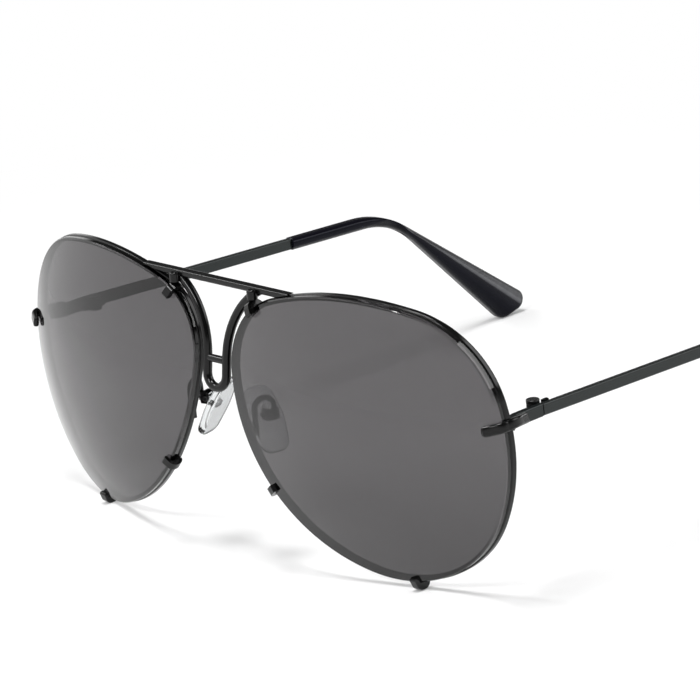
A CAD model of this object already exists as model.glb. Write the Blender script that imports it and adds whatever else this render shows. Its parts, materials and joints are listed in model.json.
import json
import math

import bmesh
import bpy
from mathutils import Matrix, Quaternion, Vector


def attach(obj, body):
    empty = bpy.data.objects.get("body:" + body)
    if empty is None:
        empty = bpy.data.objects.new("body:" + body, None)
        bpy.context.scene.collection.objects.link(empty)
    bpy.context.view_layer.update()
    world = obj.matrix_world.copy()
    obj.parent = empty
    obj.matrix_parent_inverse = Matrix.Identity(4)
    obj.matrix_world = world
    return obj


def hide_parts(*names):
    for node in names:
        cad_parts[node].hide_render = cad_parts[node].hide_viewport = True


# Oversized sunglasses on a white table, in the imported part's frame, in metres

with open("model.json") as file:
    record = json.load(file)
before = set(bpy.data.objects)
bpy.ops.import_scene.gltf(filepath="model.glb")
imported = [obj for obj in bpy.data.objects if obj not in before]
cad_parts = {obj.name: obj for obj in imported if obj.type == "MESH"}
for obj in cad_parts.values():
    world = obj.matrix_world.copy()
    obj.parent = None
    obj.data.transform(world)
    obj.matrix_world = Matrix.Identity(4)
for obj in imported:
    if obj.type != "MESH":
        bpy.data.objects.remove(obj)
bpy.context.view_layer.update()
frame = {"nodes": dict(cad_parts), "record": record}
nodes = frame["nodes"]
MM = 0.001
QUARTER_TURN = math.radians(90)
LEFT = Vector((1, 0, 0))
BACK = Vector((0, 1, 0))
UP = Vector((0, 0, 1))
# Side of the wearer, and the scale along X that puts a piece there
SIDES = {"left": 1, "right": -1}


# Shader maths

# A Mix node's two colour sockets, by number because its other sockets have the same names
MIX_LOW = 6
MIX_HIGH = 7


class Value:
    """Number or colour from a socket; calculating with it adds nodes."""

    def __init__(self, finish, socket):
        self.finish = finish
        self.socket = socket

    def math(self, operation, other):
        return self.finish.math(operation, self, other)

    def __add__(self, other):
        return self.math("ADD", other)

    def __sub__(self, other):
        return self.math("SUBTRACT", other)

    def __mul__(self, other):
        return self.math("MULTIPLY", other)

    def __truediv__(self, other):
        return self.math("DIVIDE", other)

    def __pow__(self, other):
        return self.math("POWER", other)

    def __rsub__(self, other):
        return self.finish.math("SUBTRACT", other, self)

    __radd__ = __add__
    __rmul__ = __mul__

    def larger(self, other):
        return self.math("MAXIMUM", other)

    def between(self, low, high):
        """Share of the way from low to high, eased and held within 0 and 1."""
        eased = {"interpolation_type": "SMOOTHSTEP"}
        reach = {"Value": self, "From Min": low, "From Max": high}
        return self.finish.node("ShaderNodeMapRange", eased, reach)["Result"]


class Finish:
    """Node tree of a material or of the world."""

    def __init__(self, owner):
        self.owner = owner
        owner.use_nodes = True
        self.tree = owner.node_tree
        self.tree.nodes.clear()

    def node(self, kind, settings=None, inputs=None):
        """Adds a node with its settings, and values or links in its sockets; gives its outputs by name."""
        made = self.tree.nodes.new(kind)
        for name, setting in (settings or {}).items():
            setattr(made, name, setting)
        for name, value in (inputs or {}).items():
            if isinstance(value, Value):
                self.tree.links.new(value.socket, made.inputs[name])
            else:
                made.inputs[name].default_value = value
        return {output.name: Value(self, output) for output in made.outputs if output.enabled}

    def math(self, operation, first, second):
        return self.node("ShaderNodeMath", {"operation": operation}, {0: first, 1: second})["Value"]

    def place(self):
        return self.node("ShaderNodeTexCoord")["Object"]

    def axes(self, place):
        """Parts of a place or a direction along X, Y and Z."""
        return self.node("ShaderNodeSeparateXYZ", None, {"Vector": place})

    def noise(self, grain, detail=3.0, stretch_shares=(1.0, 1.0, 1.0)):
        """Cloudy noise with spots of about the grain's size, longer where the share is small."""
        place = self.node("ShaderNodeMapping", None, {
            "Vector": self.place(), "Scale": stretch_shares})["Vector"]
        return self.node("ShaderNodeTexNoise", None, {
            "Vector": place, "Scale": 1 / grain, "Detail": detail})["Fac"]

    def blend(self, share, low, high):
        """Colour between two colours."""
        return self.node("ShaderNodeMix", {"data_type": "RGBA"}, {
            "Factor": share, MIX_LOW: low, MIX_HIGH: high})["Result"]

    def bump(self, height, depth, strength):
        return self.node("ShaderNodeBump", None, {
            "Height": height, "Distance": depth, "Strength": strength})["Normal"]

    def shine(self, **inputs):
        """Principled surface, its sockets named with underscores."""
        return self.node("ShaderNodeBsdfPrincipled", None, {
            name.replace("_", " "): value for name, value in inputs.items()})["BSDF"]

    def surface(self, shader):
        """Shows the shader on the material or in the world, and gives that back."""
        kind = "World" if isinstance(self.owner, bpy.types.World) else "Material"
        self.node("ShaderNodeOutput" + kind, None, {"Surface": shader})
        return self.owner


def new_finish(name):
    return Finish(bpy.data.materials.new(name))


def colour(red, green, blue):
    return (red, green, blue, 1.0)


def grey(level):
    return colour(level, level, level)


# Black enamel of the wire pieces

RIPPLE = 2.4 * MM
SPECK = 0.35 * MM
SPECK_DEPTH = 0.01 * MM
SPECK_RELIEF_SHARE = 0.25
ENAMEL_DARK = grey(0.002)
ENAMEL_LIGHT = grey(0.005)
ENAMEL_BLUR = 0.1
RIPPLE_BLUR = 0.06
SPECK_BLUR = 0.04
ENAMEL_IOR = 1.38


def black_enamel():
    """Glossy black lacquer on wire, with faint ripples."""
    finish = new_finish("black_enamel")
    ripple = finish.noise(RIPPLE)
    speck = finish.noise(SPECK)
    return finish.surface(finish.shine(
        Base_Color=finish.blend(ripple, ENAMEL_DARK, ENAMEL_LIGHT),
        Roughness=ENAMEL_BLUR + ripple * RIPPLE_BLUR + speck * SPECK_BLUR,
        IOR=ENAMEL_IOR,
        Normal=finish.bump(speck, SPECK_DEPTH, SPECK_RELIEF_SHARE)))


# Satin enamel of the temples and endpieces

CLOUD = 3.5 * MM
GRAIN = 0.3 * MM
GRAIN_DEPTH = 0.008 * MM
GRAIN_RELIEF_SHARE = 0.2
DRAWN_SHARES = (1.0, 0.06, 1.0)
TEMPLE_DARK = colour(0.003, 0.004, 0.004)
TEMPLE_LIGHT = colour(0.006, 0.008, 0.008)
TEMPLE_SHEEN = colour(0.92, 1.0, 0.99)
TEMPLE_BLUR = 0.16
GRAIN_BLUR = 0.1
TEMPLE_IOR = 1.45


def temple_enamel():
    """Satin green-grey black on the flat temples, drawn along their length."""
    finish = new_finish("temple_enamel")
    grain = finish.noise(GRAIN, stretch_shares=DRAWN_SHARES)
    cloud = finish.noise(CLOUD)
    return finish.surface(finish.shine(
        Base_Color=finish.blend(cloud, TEMPLE_DARK, TEMPLE_LIGHT),
        Roughness=TEMPLE_BLUR + grain * GRAIN_BLUR,
        IOR=TEMPLE_IOR,
        Specular_Tint=TEMPLE_SHEEN,
        Normal=finish.bump(grain, GRAIN_DEPTH, GRAIN_RELIEF_SHARE)))


# Plastic of the ear tips

PEEL = 1.1 * MM
PEEL_DETAIL = 1.0
TIP_DARK = colour(0.003, 0.003, 0.005)
TIP_LIGHT = colour(0.006, 0.006, 0.01)
TIP_SHEEN = colour(0.8, 0.84, 1.0)
TIP_BLUR = 0.1
PEEL_BLUR = 0.08
TIP_IOR = 1.2
TIP_DOME_SHARE = 0.45
# The values from here to the paddle's are in millimetres, as the relief is worked out
PEEL_DEPTH = 0.003
# Where the tips bend, along Y
TIP_BEND = (36.0, 46.0)
# Lines that the tips' middle and half height follow before the bend and after it: value at Y zero, and slope
SLEEVE_MIDDLE = 36.3
SLEEVE_SLOPE = -0.0407
SLEEVE_HALF = 1.45
PADDLE_MIDDLE = 69.5
PADDLE_SLOPE = -0.893
PADDLE_HALF = -5.67
PADDLE_WIDENING = 0.153


def tip_acetate():
    """Polished black plastic of the ear tips, with a violet cast and domed sides."""
    finish = new_finish("tip_acetate")
    cloud = finish.noise(CLOUD)
    peel = finish.noise(PEEL, detail=PEEL_DETAIL)
    axes = finish.axes(finish.place())
    back = axes["Y"] / MM
    up = axes["Z"] / MM
    paddle = back.between(*TIP_BEND)
    sleeve_middle = SLEEVE_MIDDLE + back * SLEEVE_SLOPE
    middle = sleeve_middle + paddle * (PADDLE_MIDDLE + back * PADDLE_SLOPE - sleeve_middle)
    half = SLEEVE_HALF + paddle * (PADDLE_HALF + back * PADDLE_WIDENING - SLEEVE_HALF)
    dome = (up - middle) ** 2 / half * -TIP_DOME_SHARE
    return finish.surface(finish.shine(
        Base_Color=finish.blend(cloud, TIP_DARK, TIP_LIGHT),
        Roughness=TIP_BLUR + peel * PEEL_BLUR,
        IOR=TIP_IOR,
        Specular_Tint=TIP_SHEEN,
        Normal=finish.bump(dome + peel * PEEL_DEPTH, MM, 1.0)))


# Smoke lenses

LENS_CLOUD = 14.0 * MM
LENS_DETAIL = 4.0
LENS_DARK = colour(0.094, 0.0895, 0.093)
LENS_LIGHT = colour(0.102, 0.0975, 0.101)
LENS_BOTTOM = colour(0.058, 0.055, 0.057)
# Heights between which the tint fades upwards
LENS_FADE = (6.0 * MM, 38.0 * MM)
LENS_IOR = 1.5


def smoke_lens():
    """Grey see-through lens, its tint a little cloudy and deeper at the bottom."""
    finish = new_finish("smoke_lens")
    cloud = finish.noise(LENS_CLOUD, detail=LENS_DETAIL)
    tint = finish.blend(cloud, LENS_DARK, LENS_LIGHT)
    height = finish.axes(finish.place())["Z"].between(*LENS_FADE)
    return finish.surface(finish.shine(
        Base_Color=finish.blend(height, LENS_BOTTOM, tint),
        Roughness=0.0,
        Transmission_Weight=1.0,
        IOR=LENS_IOR))


# Nose pads

PAD_CLOUD = 1.6 * MM
PAD_DULL = colour(0.76, 0.78, 0.785)
PAD_CLEAR = colour(0.88, 0.895, 0.9)
PAD_EDGE = colour(0.1, 0.105, 0.11)
# How far a face turns from the eye where its dark edge begins and where it is full
PAD_EDGE_SHARES = (0.38, 0.85)
FACING_BLEND = 0.5
PAD_BLUR = 0.04
PAD_CLOUD_BLUR = 0.06
PAD_IOR = 1.42


def clear_pad():
    """Clear soft plastic of the nose pads, dark where it turns away."""
    finish = new_finish("clear_pad")
    cloud = finish.noise(PAD_CLOUD)
    clear = finish.blend(cloud, PAD_DULL, PAD_CLEAR)
    facing = finish.node("ShaderNodeLayerWeight", None, {"Blend": FACING_BLEND})["Facing"]
    return finish.surface(finish.shine(
        Base_Color=finish.blend(facing.between(*PAD_EDGE_SHARES), clear, PAD_EDGE),
        Roughness=PAD_BLUR + cloud * PAD_CLOUD_BLUR,
        Transmission_Weight=1.0,
        IOR=PAD_IOR))


# Screws

WEAR = 0.5 * MM
# Levels of the noise where wear begins and where it is full
WEAR_SHARES = (0.5, 0.75)
SCREW_DARK = grey(0.008)
SCREW_WORN = grey(0.05)
WORN_METAL_SHARE = 0.6
SCREW_BLUR = 0.3
WORN_BLUR = -0.1


def screw_steel():
    """Blackened steel of the screws, worn a little brighter in spots."""
    finish = new_finish("screw_steel")
    wear = finish.noise(WEAR).between(*WEAR_SHARES)
    return finish.surface(finish.shine(
        Base_Color=finish.blend(wear, SCREW_DARK, SCREW_WORN),
        Metallic=wear * WORN_METAL_SHARE,
        Roughness=SCREW_BLUR + wear * WORN_BLUR))


# Finish of every node, by its slot

FINISHES = {
    "black_metal": black_enamel(),
    "screw_steel": screw_steel(),
    "temple_metal": temple_enamel(),
    "smoke_lens": smoke_lens(),
    "tip_plastic": tip_acetate(),
    "clear_pad": clear_pad(),
}
for subpart in frame["record"]["subparts"]:
    mesh = nodes[subpart["node"]].data
    mesh.materials.clear()
    mesh.materials.append(FINISHES[subpart["material_slot"]])

# A see-through lens would throw a solid shadow, so the lenses throw none
for side in SIDES:
    nodes[f"{side}_lens"].visible_shadow = False


# Lens hooks: rounded fingers bent round the lens edge and on to the endpiece

UNIT_HALF = 0.5
HOOK_THICKNESS = 1.25 * MM
HOOK_HEIGHT = 2.3 * MM
HOOK_EDGE = 0.55 * MM
HOOK_EDGE_STEPS = 6
HOOK_TIP = Vector((-3.05, -67.7, 0)) * MM
HOOK_HEADING = math.radians(31.86)
HOOK_FRONT_RUN = 2.7 * MM
HOOK_BEND = math.radians(66.7)
HOOK_BEND_RADIUS = 2.2 * MM
HOOK_BEND_STEPS = 10
HOOK_SIDE_RUN = 6.4 * MM
HOOK_ROLL = math.radians(14.0)
HOOK_PLACE = Vector((73.69, 0, 38.8)) * MM
HOOK_MERGE_SHARE = 0.001
# Rounding of both ends: runs along the finger, and the shares of its full section before and after them
HOOK_NOSE_RUNS = [0.1 * MM, 0.2 * MM, 0.3 * MM]
HOOK_NOSE_SHARES = [0.42, 0.68, 0.88, 1.0]


def end_face(geometry):
    return next(item for item in geometry if isinstance(item, bmesh.types.BMFace))


class Finger:
    """Bar grown from the face on its end, along a way that may turn."""

    def __init__(self, form, face, here, way):
        self.form = form
        self.face = face
        self.here = here
        self.way = way

    def scale(self, share):
        bmesh.ops.scale(self.form, verts=self.face.verts, vec=(share, share, share),
                        space=Matrix.Translation(-self.here))

    def run(self, length):
        self.face = end_face(bmesh.ops.extrude_face_region(self.form, geom=[self.face])["geom"])
        bmesh.ops.translate(self.form, verts=self.face.verts, vec=self.way * length)
        self.here = self.here + self.way * length

    def turn(self, angle, radius):
        """Bends to the left as seen from above."""
        hub = self.here + UP.cross(self.way) * radius
        bend = Quaternion(UP, angle)
        self.face = end_face(bmesh.ops.spin(
            self.form, geom=[self.face, *self.face.edges, *self.face.verts], cent=hub, axis=UP,
            angle=angle, steps=HOOK_BEND_STEPS)["geom_last"])
        self.here = hub + bend @ (self.here - hub)
        self.way = bend @ self.way

    def taper(self, lengths, shares):
        """Runs each length while the section goes from one share of its full size to the next."""
        for length, before, after in zip(lengths, shares, shares[1:]):
            self.run(length)
            self.scale(after / before)


def add_piece(name, form, finish):
    """Object at the origin from a form that is done, in one finish."""
    mesh = bpy.data.meshes.new(name)
    form.to_mesh(mesh)
    form.free()
    mesh.materials.append(finish)
    made = bpy.data.objects.new(name, mesh)
    bpy.context.scene.collection.objects.link(made)
    return made


def hook_finger(name, node, mirror):
    """Finger that stands in for one lens hook."""
    form = bmesh.new()
    bmesh.ops.create_grid(form, x_segments=1, y_segments=1, size=UNIT_HALF)
    bmesh.ops.scale(form, verts=form.verts, vec=(HOOK_THICKNESS, HOOK_HEIGHT, 1))
    bmesh.ops.bevel(form, geom=form.verts[:], offset=HOOK_EDGE, segments=HOOK_EDGE_STEPS, profile=0.5,
                    affect="VERTICES", material=-1)
    heading = Quaternion(UP, HOOK_HEADING)
    upright = Quaternion(UP, QUARTER_TURN) @ Quaternion(LEFT, QUARTER_TURN)
    bmesh.ops.rotate(form, verts=form.verts, matrix=(heading @ upright).to_matrix())
    bmesh.ops.translate(form, verts=form.verts, vec=HOOK_TIP)

    finger = Finger(form, end_face(form.faces), HOOK_TIP, heading @ LEFT)
    finger.scale(HOOK_NOSE_SHARES[0])
    finger.taper(HOOK_NOSE_RUNS, HOOK_NOSE_SHARES)
    finger.run(HOOK_FRONT_RUN)
    finger.turn(HOOK_BEND, HOOK_BEND_RADIUS)
    finger.run(HOOK_SIDE_RUN)
    finger.taper(HOOK_NOSE_RUNS[::-1], HOOK_NOSE_SHARES[::-1])

    bmesh.ops.rotate(form, verts=form.verts, matrix=Quaternion(BACK, -HOOK_ROLL).to_matrix())
    bmesh.ops.translate(form, verts=form.verts, vec=HOOK_PLACE)
    bmesh.ops.scale(form, verts=form.verts, vec=(mirror, 1, 1))
    bmesh.ops.remove_doubles(form, verts=form.verts, dist=HOOK_EDGE * HOOK_MERGE_SHARE)
    bmesh.ops.recalc_face_normals(form, faces=form.faces)
    for face in form.faces:
        face.smooth = True
    made = add_piece(name, form, FINISHES["black_metal"])
    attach(made, "front")
    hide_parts(node)


for side, mirror in SIDES.items():
    hook_finger(f"{side}_hook_finger", f"{side}_lens_hook", mirror)


# Table

WHITE = grey(1.0)
TABLE_REACH = 3.0
PAPER = 40.0 * MM
TABLE_DARK = grey(0.86)
TABLE_LIGHT = grey(0.88)
# Share of plain white at the glasses, and the distances between which it grows to all
TABLE_GLOW_SHARE = 0.12
TABLE_FADE = (85.0 * MM, 300.0 * MM)


def table():
    """White table that takes the soft shadows and is otherwise as white as the backdrop."""
    form = bmesh.new()
    bmesh.ops.create_grid(form, x_segments=1, y_segments=1, size=TABLE_REACH)
    finish = new_finish("table_white")
    path = finish.node("ShaderNodeLightPath")
    grain = finish.noise(PAPER)
    paint = finish.node("ShaderNodeBsdfDiffuse", None, {
        "Color": finish.blend(grain, TABLE_DARK, TABLE_LIGHT)})["BSDF"]
    glow = finish.node("ShaderNodeEmission", None, {"Color": WHITE, "Strength": 1.0})["Emission"]
    rays = path["Is Camera Ray"] + path["Is Glossy Ray"] + path["Is Transmission Ray"]
    seen = finish.node("ShaderNodeClamp", None, {"Value": rays})["Result"]
    away = finish.node("ShaderNodeVectorMath", {"operation": "LENGTH"}, {0: finish.place()})["Value"]
    share = seen * (TABLE_GLOW_SHARE + away.between(*TABLE_FADE) * (1 - TABLE_GLOW_SHARE))
    white = finish.node("ShaderNodeMixShader", None, {0: share, 1: paint, 2: glow})["Shader"]
    add_piece("table", form, finish.surface(white))


# Backdrop

DIM_SHARE = 0.05
CARD_WAY = (-0.8, -0.6, 0.0)
# Cosines of the angle to the card's middle, and sines of the angle above the horizon, where white fades
CARD_EDGE = (0.3, 0.6)
HORIZON_EDGE = (0.08, 0.22)


def backdrop():
    """Studio that is white along the horizon and on a wide card left of the front, and dim elsewhere."""
    world = bpy.data.worlds.new("studio")
    bpy.context.scene.world = world
    finish = Finish(world)
    way = finish.node("ShaderNodeTexCoord")["Generated"]
    toward_card = finish.node("ShaderNodeVectorMath", {"operation": "DOT_PRODUCT"}, {
        0: way, 1: CARD_WAY})["Value"]
    horizon = 1 - finish.axes(way)["Z"].between(*HORIZON_EDGE)
    white = toward_card.between(*CARD_EDGE).larger(horizon)
    finish.surface(finish.node("ShaderNodeBackground", None, {
        "Color": WHITE, "Strength": DIM_SHARE + white * (1 - DIM_SHARE)})["Background"])


# Lamps and camera

# Name, place, aim, width and height of each lamp, and its watts
LAMPS = [
    ("top_light", (-0.05, -0.1, 1.0), (-0.05, 0, 0), 0.3, 0.3, 6.2),
    ("front_strip", (0.05, -0.72, 0.68), (0, 0, 0), 0.5, 0.1, 3.0),
    ("brow_strip", (-0.75, -0.34, 0.7), (0, -0.07, 0.06), 0.1, 0.3, 1.4),
    ("back_light", (0.52, 0.66, 0.6), (0, 0, 0), 0.6, 0.6, 3.5),
    ("rear_strip", (0.05, 1.1, 0.13), (-0.07, 0.06, 0.02), 0.5, 0.1, 0.6),
]
CAMERA_PLACE = (0.76838, -0.72572, 0.3651)
CAMERA_AIM = (-0.0247, -0.0159, 0.0246)
CAMERA_ROLL = math.radians(-5.53)
# The camera's own units are millimetres for these two
SENSOR_WIDTH = 36.0
FOCAL_LENGTH = 255.5
NEAREST = 0.05
FARTHEST = 50.0


def aimed(name, data, place, aim, roll=0.0):
    """Lamp or camera at a place, turned to what it aims at."""
    made = bpy.data.objects.new(name, data)
    made.location = place
    made.rotation_mode = "QUATERNION"
    way = Vector(aim) - Vector(place)
    made.rotation_quaternion = way.to_track_quat("-Z", "Y") @ Quaternion(UP, roll)
    bpy.context.scene.collection.objects.link(made)
    return made


def softbox(name, place, aim, width, height, watts):
    lamp = bpy.data.lights.new(name, "AREA")
    lamp.shape = "RECTANGLE"
    lamp.size = width
    lamp.size_y = height
    lamp.energy = watts
    aimed(name, lamp, place, aim)


def camera():
    lens = bpy.data.cameras.new("camera")
    lens.sensor_width = SENSOR_WIDTH
    lens.lens = FOCAL_LENGTH
    lens.clip_start = NEAREST
    lens.clip_end = FARTHEST
    bpy.context.scene.camera = aimed("camera", lens, CAMERA_PLACE, CAMERA_AIM, CAMERA_ROLL)


table()
backdrop()
for lamp in LAMPS:
    softbox(*lamp)
camera()
bpy.context.scene.view_settings.view_transform = "Standard"
